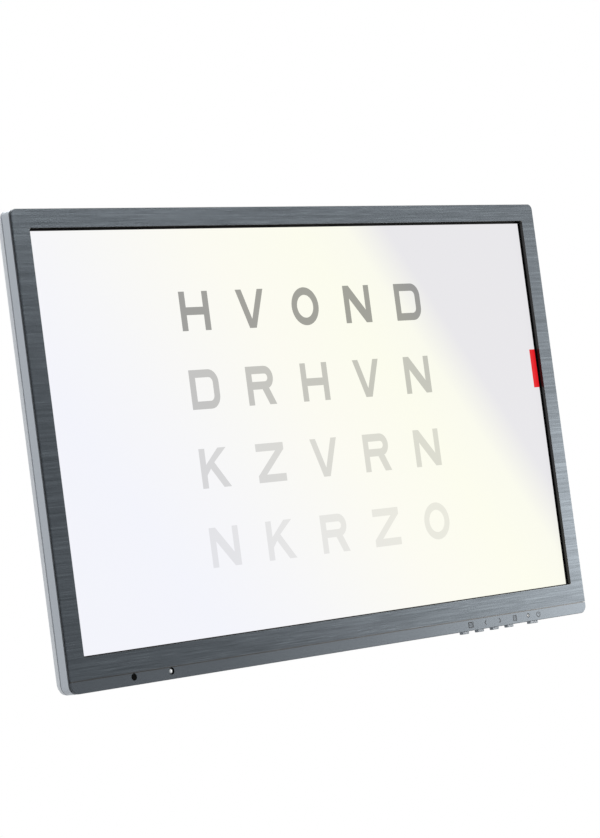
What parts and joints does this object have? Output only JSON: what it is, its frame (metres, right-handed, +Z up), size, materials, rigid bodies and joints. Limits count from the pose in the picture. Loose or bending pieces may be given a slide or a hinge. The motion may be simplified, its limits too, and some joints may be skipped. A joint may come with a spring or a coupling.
{
  "type": "visual acuity chart",
  "caption": "Flat wide-screen display for a lit letter sight-test chart, slim brushed frame, underside keys, humped back with a square of bracket holes.",
  "frame": {"origin": "centre of the four bracket holes, on the rear mounting plane", "axes": "+X to the right as a reader faces the chart, +Y away from the reader towards the wall, +Z up"},
  "size_m": [0.5652, 0.05, 0.3429],
  "materials": {
    "brushed_bezel": "brushed, lines along the width",
    "smooth_trim": "satin",
    "silver_band": "satin silver",
    "rear_plastic": "fine matt",
    "key_plastic": "satin",
    "screen_glass": "matt polariser, lit from behind",
    "dark_window": "gloss",
    "clear_acrylic": "clear",
    "film_white": "matt",
    "white_plastic": "matt",
    "module_steel": "rolled sheet",
    "zinc_steel": "zinc plated",
    "screw_steel": "plated",
    "sink_aluminium": "bare",
    "board_green": "solder resist",
    "board_brown": "bare laminate",
    "board_white": "white resist",
    "component_black": "moulded",
    "ferrite_grey": "ferrite and tape",
    "copper_winding": "enamelled wire",
    "led_yellow": "phosphor",
    "vga_blue": "moulded",
    "dvi_white": "moulded"
  },
  "bodies": {
    "body": {"front_bezel": "brushed_bezel", "chin_trim": "smooth_trim", "side_band": "silver_band", "rear_cover": "rear_plastic", "panel_front_frame": "module_steel", "lcd_cell": "screen_glass", "panel_inner_frame": "white_plastic", "film_stack": "film_white", "light_guide": "clear_acrylic", "reflector_sheet": "film_white", "panel_back_tray": "module_steel", "light_bar": "board_white", "backlight_leds": "led_yellow", "timing_board": "board_green", "mounting_frame": "zinc_steel", "shield_box": "zinc_steel", "mount_plate": "zinc_steel", "main_board": "board_green", "scaler_chip": "component_black", "board_capacitors": "component_black", "vga_socket": "vga_blue", "dvi_socket": "dvi_white", "socket_screwlocks": "screw_steel", "hdmi_socket": "zinc_steel", "power_board": "board_brown", "mains_inlet": "component_black", "inlet_pins": "screw_steel", "power_transformer": "ferrite_grey", "heat_sinks": "sink_aluminium", "line_choke": "copper_winding", "key_board": "board_green", "key_switches": "component_black", "power_light": "led_yellow", "light_pipe": "clear_acrylic", "receiver_window": "dark_window", "remote_receiver": "component_black", "sensor_lens": "clear_acrylic", "light_sensor": "component_black", "sensor_board": "board_green", "cover_screws": "screw_steel"},
    "source_key": {"key_source": "key_plastic", "plunger_source": "component_black"},
    "left_key": {"key_left": "key_plastic", "plunger_left": "component_black"},
    "right_key": {"key_right": "key_plastic", "plunger_right": "component_black"},
    "menu_key": {"key_menu": "key_plastic", "plunger_menu": "component_black"},
    "power_key": {"key_power": "key_plastic", "plunger_power": "component_black"}
  },
  "joints": [
    {"name": "source_key_press", "type": "slide", "parent": "body", "child": "source_key", "axis": [0, 0, 1], "range_m": [0, 0.0006], "stiffness_N_per_m": 600, "springref_m": -0.001},
    {"name": "left_key_press", "type": "slide", "parent": "body", "child": "left_key", "axis": [0, 0, 1], "range_m": [0, 0.0006], "stiffness_N_per_m": 600, "springref_m": -0.001},
    {"name": "right_key_press", "type": "slide", "parent": "body", "child": "right_key", "axis": [0, 0, 1], "range_m": [0, 0.0006], "stiffness_N_per_m": 600, "springref_m": -0.001},
    {"name": "menu_key_press", "type": "slide", "parent": "body", "child": "menu_key", "axis": [0, 0, 1], "range_m": [0, 0.0006], "stiffness_N_per_m": 600, "springref_m": -0.001},
    {"name": "power_key_press", "type": "slide", "parent": "body", "child": "power_key", "axis": [0, 0, 1], "range_m": [0, 0.0006], "stiffness_N_per_m": 600, "springref_m": -0.001}
  ]
}
